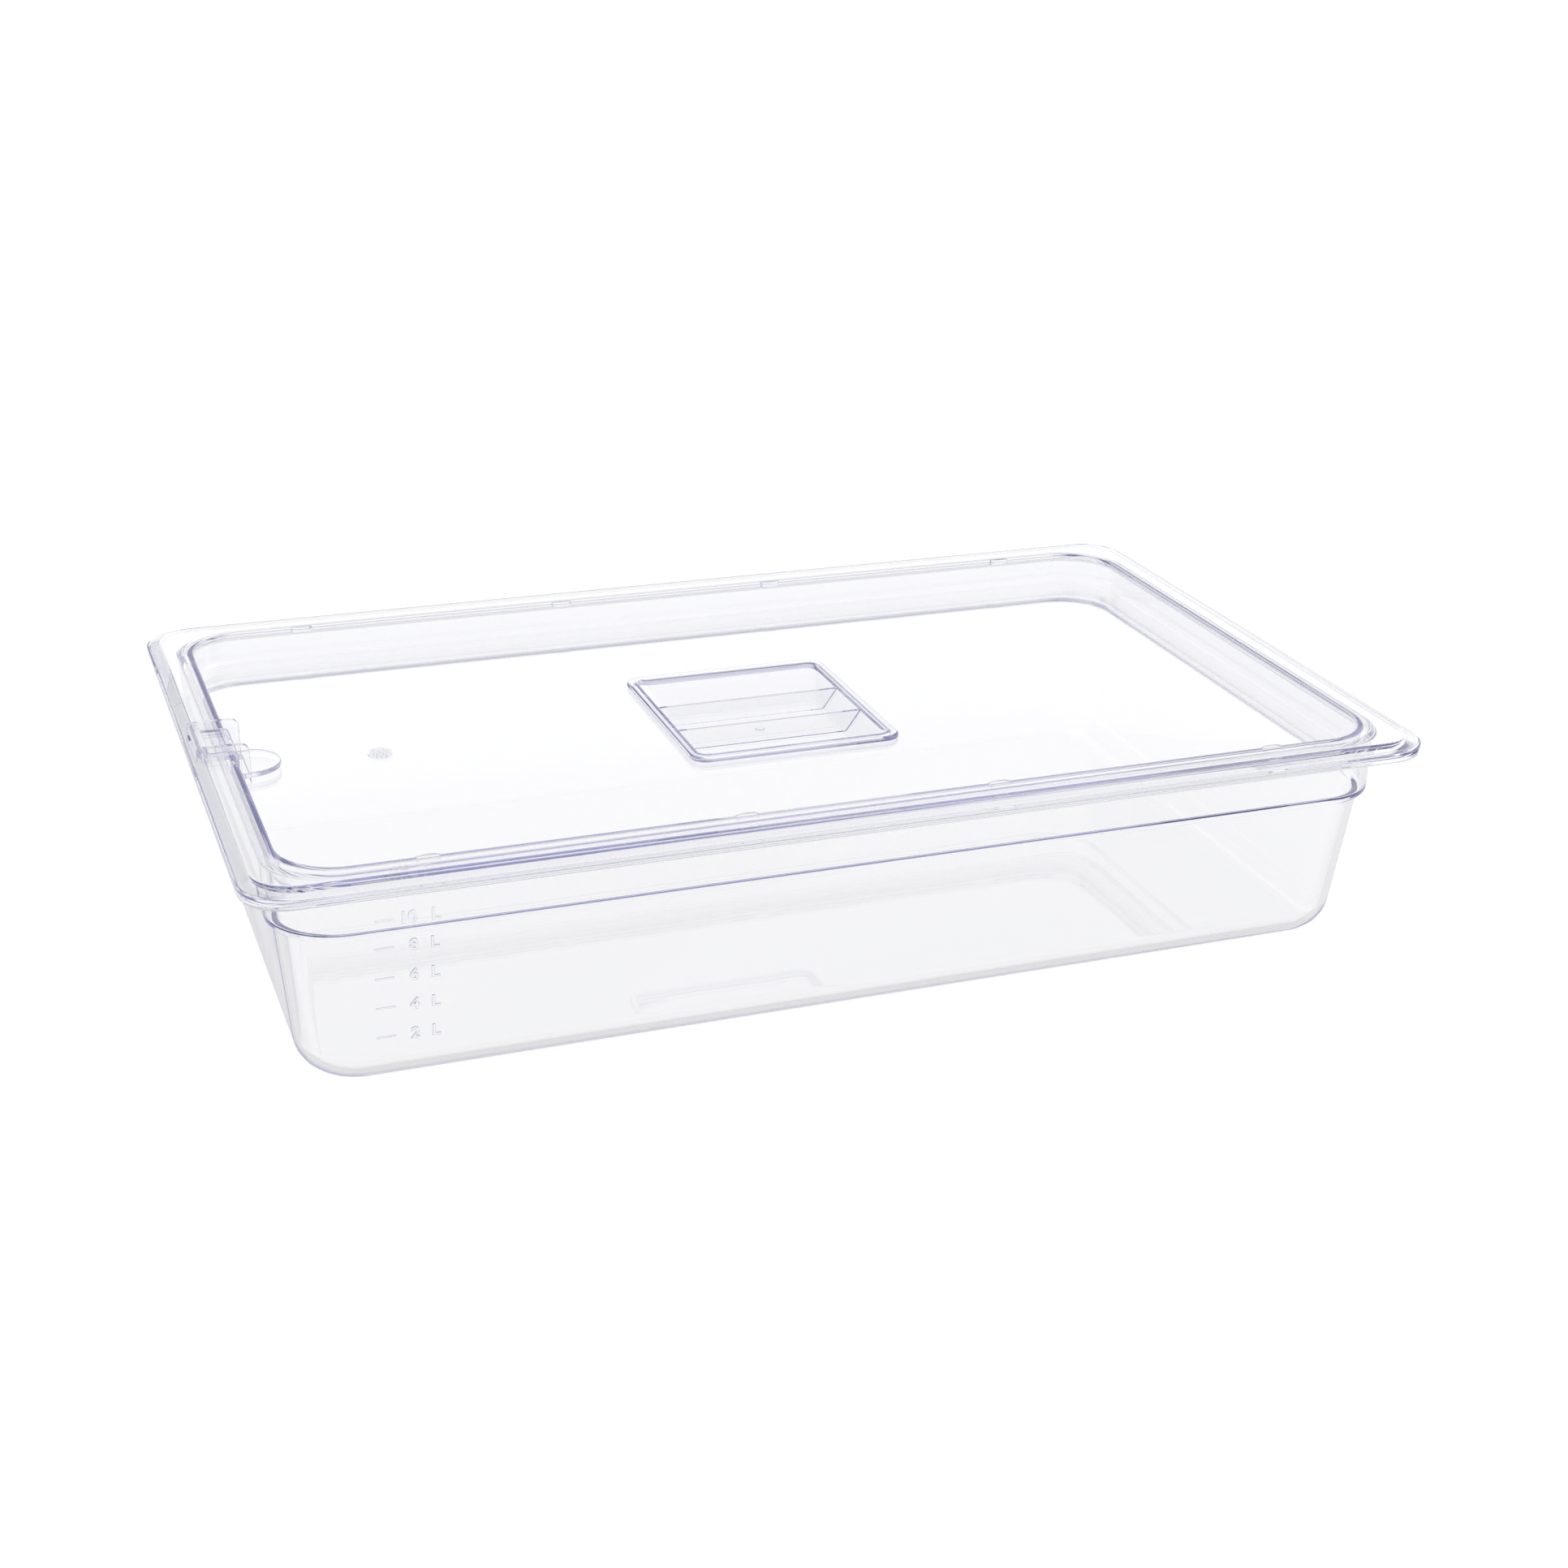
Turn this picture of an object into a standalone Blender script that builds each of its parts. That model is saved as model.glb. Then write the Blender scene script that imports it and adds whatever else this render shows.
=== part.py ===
"""Clear gastronorm food pan with a lift-off notched lid.

The frame is +Z up, with the origin at the centre of the pan's base. The long
side runs along X, and the lid's notch and its flap are at the -X end. Lengths
are in millimetres until MM turns them into metres.
"""
import math

import bmesh
import bpy
from mathutils import Vector

MM = 0.001

# Overall size: a full-size (1/1) gastronorm outline, 100 mm deep.
LENGTH = 530.0
WIDTH = 325.0
PAN_HEIGHT = 100.0
SEAT_GAP = 0.3            # between pieces that rest on each other
CORNER_STEPS = 6          # straight segments in a corner seen from above
FILLET_STEPS = 3          # straight segments in a fillet
ARC_STEPS = 4             # straight segments in a rounded end
ROUND_SIDES = 16          # of the pin and its bores
EDGE_FILLET = 0.5         # on the moulded edges
LEAST_FLAT = 0.2          # flat left between the end of a section and a fillet
CUT_MARGIN = 10.0         # how far a cutter runs past what it cuts

# Pan walls. An inset is measured in from the 530 x 325 outline.
WALL = 2.5
FLOOR = 3.0
BAND_INSET = 12.5         # outer face of the upper band, under the flange
BAND_DRAFT = 0.4
BAND_RADIUS = 29.5
SHOULDER_HEIGHT = 72.0    # lower edge of the upper band
SHOULDER_STEP = 3.0
SHOULDER_FILLET = 1.0
BASE_INSET = 23.3         # outer wall carried down to the base's level
BASE_RADIUS = 26.0
BOTTOM_FILLET = 16.0

# Flanges. Both have a bevelled edge, and the lid's nests over the pan's.
EDGE_RADIUS = 20.0        # plan radius of the corners at the outline
FLANGE_RADIUS = 16.7      # plan radius of the corners where the bevel starts
BEVEL_INSET = 6.2
BEVEL_DROP = 2.2
PAN_EDGE_INSET = 0.3
PAN_EDGE_BOTTOM = 94.9
PAN_EDGE_TOP = 96.9       # where the pan's bevel starts
PAN_EDGE_THICKNESS = 2.3
PAN_BEVEL_FILLET = 2.0
FLANGE_THICKNESS = 2.8
FLANGE_ROOT_FILLET = 1.0
FLANGE_FLAT_INSET = 7.2   # outer end of the flat under the pan's flange

# Lid.
LID_THICKNESS = 2.2
LID_UNDERSIDE = PAN_HEIGHT + SEAT_GAP
LID_TOP = LID_UNDERSIDE + LID_THICKNESS
BEVEL_EDGE_INSET = 0.9    # where the lid's bevel meets its outer lip
BEVEL_EDGE_RADIUS = 19.3
LID_BEVEL_FILLET = 3.0
UNDER_BEVEL_INSET = 6.3   # outer end of the flat under the lid's flange
LIP_TOP_DROP = 3.0        # lid top to the top of its outer lip
LIP_DROP = 4.4            # lid top to the bottom of its outer lip
LIP_THICKNESS = 1.9
LIP_FOOT_FILLET = 0.2
RECESS_INSET = 18.7
RECESS_RADIUS = 26.3
RECESS_DEPTH = 14.0
RECESS_DRAFT = 0.9
RECESS_FOOT_FILLET = 2.0
PLUG_FOOT_FILLET = 3.6
PANEL_TOP = LID_TOP - RECESS_DEPTH
PANEL_UNDERSIDE = PANEL_TOP - LID_THICKNESS

# Stacking lugs: small half ovals on the long sides of the recess's rim.
LUG_PLACES = (-190.0, -57.0, 57.0, 190.0)
LUG_HALF_LENGTH = 5.0
LUG_HALF_DEPTH = 2.0
LUG_PROUD = 2.2
LUG_HEIGHT = 3.0
LUG_SIDES = 14

# Handle: a shallow ribbed pocket, its rim welded on the panel.
HANDLE_HALF = (50.5, 55.5)
HANDLE_RADIUS = 8.0
HANDLE_RIM_THICKNESS = 2.2
POCKET_MOUTH = (46.2, 50.0)
POCKET_MOUTH_RADIUS = 5.0
POCKET_FLOOR = (38.0, 30.0)
POCKET_FLOOR_RADIUS = 4.0
POCKET_FLOOR_FILLET = 1.5
POCKET_DEPTH = 11.5
POCKET_WALL = 2.2
POCKET_FOOT_FILLET = 2.5
POCKET_ROOT_RADIUS = 5.5  # plan radius of the outer wall under the rim
POCKET_CENTRE_INSET = 5.0  # where the sections of the pocket's floor end
POCKET_CENTRE_RADIUS = 2.0
HANDLE_HOLE_HALF = (48.0, 51.4)
HANDLE_HOLE_RADIUS = 6.0
RIB_OFFSET = 15.2
RIB_THICKNESS = 2.0
RIB_BELOW_RIM = 1.5

# Notch, its cheeks, and the flap hinged between them.
NOTCH_HALF_WIDTH = 14.4
NOTCH_OUTER_X = -262.4
NOTCH_INNER_X = -239.4
CHEEK_THICKNESS = 2.2
CHEEK_RISE = 4.5
CHEEK_OUTER_X = -262.3
CHEEK_INNER_X = -239.7
CHEEK_FOOT_RISE = 0.4     # above the panel's underside
CHEEK_CORNER = 4.0
CHEEK_END_RADIUS = 2.0
CHEEK_BITE = 0.4          # how far a cheek runs into the slot before it's trimmed
HINGE_X = -259.5
HINGE_RISE = 1.6          # hinge axis above the lid's top
PIN_RADIUS = 1.5
PIN_HALF_LENGTH = 17.6
BORE_RADIUS = 1.8
BORE_MARGIN = 1.0         # how far a bore's cutter runs past each end
FLAP_HALF_WIDTH = 14.1
FLAP_THICKNESS = 2.2
FLAP_EYE_RADIUS = 2.6
FLAP_EYE_ARC = (40, 270)  # degrees, around the eye's free side
FLAP_EYE_STEPS = 10
FLAP_EYE_RUN = 2.4        # hinge axis to where the top plate starts
FLAP_BEND_RADIUS = 3.0
FLAP_GUSSET = 0.6         # in the corner between the plate and the upright
FLAP_DROP_X = -244.2      # inner face of the flap's upright
TAB_THICKNESS = 2.4
TAB_ABOVE_PANEL = 1.5
TAB_LIFT = 0.05           # tab's underside above the upright's foot
TAB_MARGIN = 0.1          # tab's side inside the upright's side
TAB_TIP_X = -224.5
TAB_ARC = (-89, 89)       # degrees
TAB_STEPS = 14


def clear_scene():
    for old in list(bpy.data.objects):
        bpy.data.objects.remove(old, do_unlink=True)


def polycarbonate(name, colour, alpha):
    """Clear glossy plastic."""
    material = bpy.data.materials.new(name)
    material.use_nodes = True
    shader = material.node_tree.nodes["Principled BSDF"]
    shader.inputs["Base Color"].default_value = (*colour, 1.0)
    shader.inputs["Metallic"].default_value = 0.0
    shader.inputs["Roughness"].default_value = 0.08
    shader.inputs["IOR"].default_value = 1.585
    shader.inputs["Alpha"].default_value = alpha
    material.diffuse_color = (*colour, alpha)
    return material


def new_object(name, bm, material=None, centre=(0.0, 0.0, 0.0)):
    """Turn a bmesh, in millimetres about centre, into an object placed there."""
    bmesh.ops.scale(bm, verts=bm.verts, vec=(MM, MM, MM))
    mesh = bpy.data.meshes.new(name)
    bm.to_mesh(mesh)
    bm.free()
    mesh.shade_smooth()
    mesh.set_sharp_from_angle(angle=math.radians(30))
    obj = bpy.data.objects.new(name, mesh)
    obj.location = Vector(centre) * MM
    bpy.context.collection.objects.link(obj)
    if material:
        mesh.materials.append(material)
    return obj


def arc(centre_a, centre_b, radius, start, end, steps=ARC_STEPS):
    """Points of an arc, in degrees, about (centre_a, centre_b)."""
    points = []
    for step in range(steps + 1):
        angle = math.radians(start + (end - start) * step / steps)
        points.append((centre_a + radius * math.cos(angle), centre_b + radius * math.sin(angle)))
    return points


def rounded_rectangle(half_x, half_y, radius, height):
    """Loop of points, counter-clockwise seen from above."""
    points = []
    corners = ((1, 1), (-1, 1), (-1, -1), (1, -1))
    for quarter, (side_x, side_y) in enumerate(corners):
        centre_x = side_x * (half_x - radius)
        centre_y = side_y * (half_y - radius)
        for x, y in arc(centre_x, centre_y, radius, 90 * quarter, 90 * quarter + 90, CORNER_STEPS):
            points.append(Vector((x, y, height)))
    return points


def loft(loops):
    """Closed solid through loops that run up its outside, then down its inside."""
    bm = bmesh.new()
    rings = [[bm.verts.new(point) for point in loop] for loop in loops]
    for lower, upper in zip(rings, rings[1:]):
        for i, corner in enumerate(lower):
            j = (i + 1) % len(lower)
            bm.faces.new((corner, lower[j], upper[j], upper[i]))
    bm.faces.new(reversed(rings[0]))
    bm.faces.new(rings[-1])
    return bm


def rounded_path(corners):
    """Path through (point, fillet) corners, each fillet an arc.

    A point is (half length, height, half width, plan radius). The fillet lies in
    the plane of its first two values, and the other two change along with them.
    """
    path = [corners[0][0]]
    for (before, _), (corner, fillet), (after, _) in zip(corners, corners[1:], corners[2:]):
        back = before - corner
        ahead = after - corner
        half_turn = (math.pi - back.xy.angle(ahead.xy)) / 2
        reach = fillet * math.tan(half_turn)
        first = corner + back * reach / back.xy.length
        last = corner + ahead * reach / ahead.xy.length
        for step in range(FILLET_STEPS + 1):
            t = step / FILLET_STEPS
            pull = 2 * t * (1 - t) * math.cos(half_turn)
            blend = first * (1 - t) ** 2 + corner * pull + last * t ** 2
            path.append(blend / ((1 - t) ** 2 + pull + t ** 2))
    path.append(corners[-1][0])
    return path


def loops_through(corners):
    return [
        rounded_rectangle(half_x, half_y, radius, height)
        for half_x, height, half_y, radius in rounded_path(corners)
    ]


def inset_corners(stations):
    """Corners for (inset from the outline, height, plan radius, fillet) stations."""
    return [
        (Vector((LENGTH / 2 - inset, height, WIDTH / 2 - inset, radius)), fillet)
        for inset, height, radius, fillet in stations
    ]


def extrude(outline, depth):
    """Prism of a counter-clockwise outline, from the outline's plane along depth."""
    bm = bmesh.new()
    base = [bm.verts.new(point) for point in outline]
    face = bm.faces.new(base)
    grown = bmesh.ops.extrude_face_region(bm, geom=[face])["geom"]
    moved = [item for item in grown if isinstance(item, bmesh.types.BMVert)]
    bmesh.ops.translate(bm, verts=moved, vec=depth)
    bmesh.ops.recalc_face_normals(bm, faces=bm.faces)
    return bm


def side_plate(outline_xz, low_y, high_y):
    """Plate parallel to X-Z, between two Y values."""
    return extrude([Vector((x, low_y, z)) for x, z in outline_xz], Vector((0, high_y - low_y, 0)))


def cylinder(radius, height, sides, axis="Z"):
    bm = bmesh.new()
    bmesh.ops.create_cone(
        bm, cap_ends=True, segments=sides, radius1=radius, radius2=radius, depth=height
    )
    if axis == "Y":
        turn = Vector((0, 0, 1)).rotation_difference(Vector((0, 1, 0))).to_matrix()
        bmesh.ops.rotate(bm, verts=bm.verts, cent=(0, 0, 0), matrix=turn)
    return bm


def oval_column(half_x, half_y, height, sides):
    bm = cylinder(1.0, height, sides)
    bmesh.ops.scale(bm, verts=bm.verts, vec=(half_x, half_y, 1.0))
    return bm


def combine(target, name, bm, operation, centre=(0.0, 0.0, 0.0)):
    """Add or cut a hidden helper solid, with an exact boolean."""
    helper = new_object(name, bm, centre=centre)
    helper.hide_render = True
    helper.display_type = "WIRE"
    modifier = target.modifiers.new(name, "BOOLEAN")
    modifier.operation = operation
    modifier.solver = "EXACT"
    modifier.object = helper
    return helper


def pan_stations():
    """The pan's section: base, outer wall and flange, then the inside."""
    foot_inset = BAND_INSET + BAND_DRAFT
    lower_inset = foot_inset + SHOULDER_STEP
    lower_radius = BAND_RADIUS - SHOULDER_STEP / 2
    flange_bottom = PAN_HEIGHT - FLANGE_THICKNESS
    edge_inner_inset = PAN_EDGE_INSET + PAN_EDGE_THICKNESS
    edge_inner_radius = EDGE_RADIUS - edge_inner_inset / 2
    ledge = SHOULDER_HEIGHT + WALL
    inner_fillet = BOTTOM_FILLET - WALL
    inner_base_inset = BASE_INSET + WALL
    inner_base_radius = BASE_RADIUS - WALL
    return [
        (BASE_INSET + BOTTOM_FILLET, 0.0, BASE_RADIUS - BOTTOM_FILLET, 0),
        (BASE_INSET, 0.0, BASE_RADIUS, BOTTOM_FILLET),
        (lower_inset, SHOULDER_HEIGHT, lower_radius, SHOULDER_FILLET),
        (foot_inset, SHOULDER_HEIGHT, BAND_RADIUS, EDGE_FILLET),
        (BAND_INSET, flange_bottom, BAND_RADIUS, FLANGE_ROOT_FILLET),
        (FLANGE_FLAT_INSET, flange_bottom, FLANGE_RADIUS, EDGE_FILLET),
        (edge_inner_inset, flange_bottom - BEVEL_DROP / 2, edge_inner_radius, EDGE_FILLET),
        (edge_inner_inset, PAN_EDGE_BOTTOM, edge_inner_radius, EDGE_FILLET),
        (PAN_EDGE_INSET, PAN_EDGE_BOTTOM, EDGE_RADIUS, EDGE_FILLET),
        (PAN_EDGE_INSET, PAN_EDGE_TOP, EDGE_RADIUS, EDGE_FILLET),
        (BEVEL_INSET + SEAT_GAP, PAN_HEIGHT, FLANGE_RADIUS, PAN_BEVEL_FILLET),
        (BAND_INSET + WALL, PAN_HEIGHT, BAND_RADIUS - WALL, EDGE_FILLET),
        (foot_inset + WALL, ledge, BAND_RADIUS - WALL, EDGE_FILLET),
        (lower_inset + WALL, ledge, lower_radius - WALL, SHOULDER_FILLET),
        (inner_base_inset, FLOOR, inner_base_radius, inner_fillet),
        (inner_base_inset + inner_fillet, FLOOR, inner_base_radius - inner_fillet, 0),
    ]


def lid_stations():
    """The lid's section: under the panel, plug, flange and lip, then the top."""
    plug_inset = RECESS_INSET - LID_THICKNESS
    plug_radius = RECESS_RADIUS + LID_THICKNESS
    plug_foot = plug_inset + RECESS_DRAFT
    wall_foot = RECESS_INSET + RECESS_DRAFT
    lip_bottom = LID_TOP - LIP_DROP
    lip_inner_radius = EDGE_RADIUS - LIP_THICKNESS
    return [
        (plug_foot + PLUG_FOOT_FILLET, PANEL_UNDERSIDE, plug_radius - PLUG_FOOT_FILLET, 0),
        (plug_foot, PANEL_UNDERSIDE, plug_radius, PLUG_FOOT_FILLET - LEAST_FLAT),
        (plug_inset, LID_UNDERSIDE, plug_radius, EDGE_FILLET),
        (UNDER_BEVEL_INSET, LID_UNDERSIDE, FLANGE_RADIUS, EDGE_FILLET),
        (LIP_THICKNESS, lip_bottom, lip_inner_radius, LIP_FOOT_FILLET),
        (0.0, lip_bottom, EDGE_RADIUS, EDGE_FILLET),
        (0.0, LID_TOP - LIP_TOP_DROP, EDGE_RADIUS, EDGE_FILLET),
        (BEVEL_EDGE_INSET, LID_TOP - BEVEL_DROP, BEVEL_EDGE_RADIUS, EDGE_FILLET),
        (BEVEL_INSET, LID_TOP, FLANGE_RADIUS, LID_BEVEL_FILLET),
        (RECESS_INSET, LID_TOP, RECESS_RADIUS, EDGE_FILLET),
        (wall_foot, PANEL_TOP, RECESS_RADIUS, RECESS_FOOT_FILLET - LEAST_FLAT),
        (wall_foot + RECESS_FOOT_FILLET, PANEL_TOP, RECESS_RADIUS - RECESS_FOOT_FILLET, 0),
    ]


def make_pan(material):
    return new_object("pan", loft(loops_through(inset_corners(pan_stations()))), material)


def cheek_outline():
    """Side view of one notch cheek, inside the lid's walls where it meets them."""
    top = LID_TOP + CHEEK_RISE
    inner = CHEEK_INNER_X
    outer = CHEEK_OUTER_X
    end = CHEEK_END_RADIUS
    foot = PANEL_UNDERSIDE + CHEEK_FOOT_RISE
    inside_flange = LID_TOP - LID_THICKNESS / 2
    plug_x = -(LENGTH / 2 - RECESS_INSET + LID_THICKNESS / 2)
    corner = arc(inner - CHEEK_CORNER, top - CHEEK_CORNER, CHEEK_CORNER, 0, 90)
    boss = arc(outer + end, top - end, end, 90, 180)
    return [
        (outer, inside_flange - BEVEL_DROP / 2),
        (BEVEL_INSET - LENGTH / 2, inside_flange),
        (plug_x, inside_flange),
        (plug_x, foot),
        (inner, foot),
        *corner,
        *boss,
    ]


def make_lid(material):
    """Lid shell with lugs and cheeks added, then the notch and the holes cut."""
    lid = new_object("lid", loft(loops_through(inset_corners(lid_stations()))), material)
    recess_y = WIDTH / 2 - RECESS_INSET
    for side in (-1, 1):
        for number, x in enumerate(LUG_PLACES):
            y = side * (recess_y - LUG_PROUD + LUG_HALF_DEPTH)
            name = f"lug_{number}_{'front' if side < 0 else 'back'}"
            centre = (x, y, LID_TOP - SEAT_GAP - LUG_HEIGHT / 2)
            lug = oval_column(LUG_HALF_LENGTH, LUG_HALF_DEPTH, LUG_HEIGHT, LUG_SIDES)
            combine(lid, name, lug, "UNION", centre)
    for side in (-1, 1):
        inner_y = NOTCH_HALF_WIDTH - CHEEK_BITE
        outer_y = NOTCH_HALF_WIDTH + CHEEK_THICKNESS
        near, far = sorted((side * inner_y, side * outer_y))
        name = "cheek_front" if side < 0 else "cheek_back"
        combine(lid, name, side_plate(cheek_outline(), near, far), "UNION")
    low = PANEL_UNDERSIDE - CUT_MARGIN
    high = LID_TOP + CUT_MARGIN
    slot = [
        (NOTCH_OUTER_X, low),
        (NOTCH_INNER_X, low),
        (NOTCH_INNER_X, high),
        (NOTCH_OUTER_X, high),
    ]
    combine(
        lid, "notch_cut", side_plate(slot, -NOTCH_HALF_WIDTH, NOTCH_HALF_WIDTH), "DIFFERENCE"
    )
    bore = cylinder(BORE_RADIUS, 2 * (PIN_HALF_LENGTH + BORE_MARGIN), ROUND_SIDES, "Y")
    hinge = (HINGE_X, 0, LID_TOP + HINGE_RISE)
    combine(lid, "pin_bore_cut", bore, "DIFFERENCE", hinge)
    hole = [
        rounded_rectangle(*HANDLE_HOLE_HALF, HANDLE_HOLE_RADIUS, height)
        for height in (low, high)
    ]
    combine(lid, "handle_hole_cut", loft(hole), "DIFFERENCE")
    return lid


def make_handle(material):
    """Ribbed pocket: a rim on the panel, sloping walls and a flat floor."""
    rim_bottom = PANEL_TOP + SEAT_GAP
    rim_top = rim_bottom + HANDLE_RIM_THICKNESS
    floor_top = rim_top - POCKET_DEPTH
    floor_bottom = floor_top - POCKET_WALL
    slopes = [(m - f) / POCKET_DEPTH for m, f in zip(POCKET_MOUTH, POCKET_FLOOR)]
    walls = [POCKET_WALL * math.hypot(1, slope) for slope in slopes]

    def corner(half_size, height, radius, fillet):
        return (Vector((half_size[0], height, half_size[1], radius)), fillet)

    def outer_half(height):
        run = height - floor_top
        return [f + slope * run + wall for f, slope, wall in zip(POCKET_FLOOR, slopes, walls)]

    outer_foot = outer_half(floor_bottom)
    outer_centre = [half - POCKET_CENTRE_INSET for half in outer_foot]
    inner_centre = [half - POCKET_CENTRE_INSET for half in POCKET_FLOOR]
    outer_radius = POCKET_FLOOR_RADIUS + POCKET_WALL
    bm = loft(loops_through([
        corner(outer_centre, floor_bottom, POCKET_CENTRE_RADIUS, 0),
        corner(outer_foot, floor_bottom, outer_radius, POCKET_FOOT_FILLET),
        corner(outer_half(rim_bottom), rim_bottom, POCKET_ROOT_RADIUS, LEAST_FLAT / 2),
        corner(HANDLE_HALF, rim_bottom, HANDLE_RADIUS, EDGE_FILLET),
        corner(HANDLE_HALF, rim_top, HANDLE_RADIUS, EDGE_FILLET),
        corner(POCKET_MOUTH, rim_top, POCKET_MOUTH_RADIUS, EDGE_FILLET),
        corner(POCKET_FLOOR, floor_top, POCKET_FLOOR_RADIUS, POCKET_FLOOR_FILLET),
        corner(inner_centre, floor_top, POCKET_CENTRE_RADIUS, 0),
    ]))
    handle = new_object("lid_handle", bm, material)
    rib_top = rim_top - RIB_BELOW_RIM
    sunk = POCKET_WALL / 2
    top_half = POCKET_MOUTH[0] - slopes[0] * RIB_BELOW_RIM + sunk
    low_half = POCKET_FLOOR[0] - slopes[0] * sunk + sunk
    rib = [
        (-low_half, floor_top - sunk),
        (low_half, floor_top - sunk),
        (top_half, rib_top),
        (-top_half, rib_top),
    ]
    for side in (-1, 1):
        middle = side * RIB_OFFSET
        plate = side_plate(rib, middle - RIB_THICKNESS / 2, middle + RIB_THICKNESS / 2)
        combine(handle, "rib_front" if side < 0 else "rib_back", plate, "UNION")
    return handle


def make_flap(material):
    """Notch flap: hinge eye, top plate, upright and half-round thumb tab."""
    top = HINGE_RISE - FLAP_EYE_RADIUS + FLAP_THICKNESS
    under = top - FLAP_THICKNESS
    tab_low = TAB_ABOVE_PANEL - RECESS_DEPTH
    drop = FLAP_DROP_X
    bend = FLAP_BEND_RADIUS
    outer_bend = arc(drop - bend, top - bend, bend, 0, 90)
    eye = arc(HINGE_X, HINGE_RISE, FLAP_EYE_RADIUS, *FLAP_EYE_ARC, FLAP_EYE_STEPS)
    outline = [
        (drop - FLAP_THICKNESS, under - FLAP_GUSSET),
        (drop - FLAP_THICKNESS, tab_low),
        (drop, tab_low),
        *outer_bend,
        (HINGE_X + FLAP_EYE_RUN, top),
        *eye,
        (drop - FLAP_THICKNESS - FLAP_GUSSET, under),
    ]
    hinge = Vector((HINGE_X, 0, LID_TOP + HINGE_RISE))
    local = [(x - HINGE_X, z - HINGE_RISE) for x, z in outline]
    body = side_plate(local, -FLAP_HALF_WIDTH, FLAP_HALF_WIDTH)
    flap = new_object("notch_flap", body, material, centre=hinge)
    round_x = TAB_TIP_X - FLAP_HALF_WIDTH
    tab_side = FLAP_HALF_WIDTH - TAB_MARGIN
    tab_outline = [
        (drop - FLAP_THICKNESS / 2, tab_side),
        (drop - FLAP_THICKNESS / 2, -tab_side),
        *arc(round_x, 0, FLAP_HALF_WIDTH, *TAB_ARC, TAB_STEPS),
    ]
    tab_corners = [Vector((x, y, tab_low + TAB_LIFT)) for x, y in tab_outline]
    tab = extrude(tab_corners, Vector((0, 0, TAB_THICKNESS)))
    combine(flap, "thumb_tab", tab, "UNION", (0, 0, LID_TOP))
    bore = cylinder(BORE_RADIUS, 2 * (FLAP_HALF_WIDTH + BORE_MARGIN), ROUND_SIDES, "Y")
    combine(flap, "eye_bore_cut", bore, "DIFFERENCE", hinge)
    return flap


def make_pin(material):
    """Hinge pin through both cheeks and the flap's eye."""
    bm = cylinder(PIN_RADIUS, 2 * PIN_HALF_LENGTH, ROUND_SIDES, "Y")
    return new_object("hinge_pin", bm, material, centre=(HINGE_X, 0, LID_TOP + HINGE_RISE))


def main():
    clear_scene()
    make_pan(polycarbonate("pan_polycarbonate", (0.93, 0.94, 0.97), 0.25))
    make_lid(polycarbonate("lid_polycarbonate", (0.94, 0.94, 0.97), 0.25))
    make_handle(polycarbonate("handle_polycarbonate", (0.80, 0.81, 0.95), 0.35))
    make_flap(polycarbonate("flap_polycarbonate", (0.88, 0.89, 0.96), 0.3))
    make_pin(polycarbonate("pin_polycarbonate", (0.85, 0.86, 0.95), 0.4))


main()
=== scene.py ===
import math

import bmesh
import bpy
from mathutils import Matrix, Vector


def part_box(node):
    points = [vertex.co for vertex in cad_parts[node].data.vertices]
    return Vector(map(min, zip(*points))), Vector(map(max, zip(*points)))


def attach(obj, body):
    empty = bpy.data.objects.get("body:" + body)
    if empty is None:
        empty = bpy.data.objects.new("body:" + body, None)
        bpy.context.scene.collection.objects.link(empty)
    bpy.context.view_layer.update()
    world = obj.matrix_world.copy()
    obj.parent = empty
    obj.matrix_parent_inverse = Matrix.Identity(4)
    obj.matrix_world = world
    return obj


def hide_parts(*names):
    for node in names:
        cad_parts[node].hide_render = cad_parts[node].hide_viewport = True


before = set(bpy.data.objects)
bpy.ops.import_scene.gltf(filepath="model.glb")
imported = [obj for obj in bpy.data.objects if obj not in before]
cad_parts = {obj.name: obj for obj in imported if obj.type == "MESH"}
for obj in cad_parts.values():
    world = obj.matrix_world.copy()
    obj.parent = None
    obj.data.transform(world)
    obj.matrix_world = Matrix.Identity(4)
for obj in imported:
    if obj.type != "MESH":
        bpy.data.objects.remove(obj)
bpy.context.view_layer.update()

MM = 0.001

# ---------------------------------------------------------------- sizes, in mm
# The big sizes come from the frame, and the small ones repeat the part's details. An inset is
# measured in from the outline. A radius is seen from above, and a fillet is in the section.
LID_LOW, LID_HIGH = (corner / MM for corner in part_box("lid"))
HANDLE_LOW, HANDLE_HIGH = (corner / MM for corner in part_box("lid_handle"))
FLAP_LOW, FLAP_HIGH = (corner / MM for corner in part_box("notch_flap"))
PIN_LOW, PIN_HIGH = (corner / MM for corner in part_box("hinge_pin"))

LENGTH = LID_HIGH.x - LID_LOW.x
WIDTH = LID_HIGH.y - LID_LOW.y
PAN_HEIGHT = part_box("pan")[1].z / MM

CORNER_STEPS = 14         # straight segments in a corner seen from above
FILLET_STEPS = 5          # straight segments in a fillet
ROUND_SIDES = 40          # of the pin and its bores
EDGE_FILLET = 0.5         # on the moulded edges
LEAST_FLAT = 0.2          # flat left between the end of a section and a fillet
CUT_MARGIN = 2.0          # how far the handle hole's cutter runs past the panel

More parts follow.
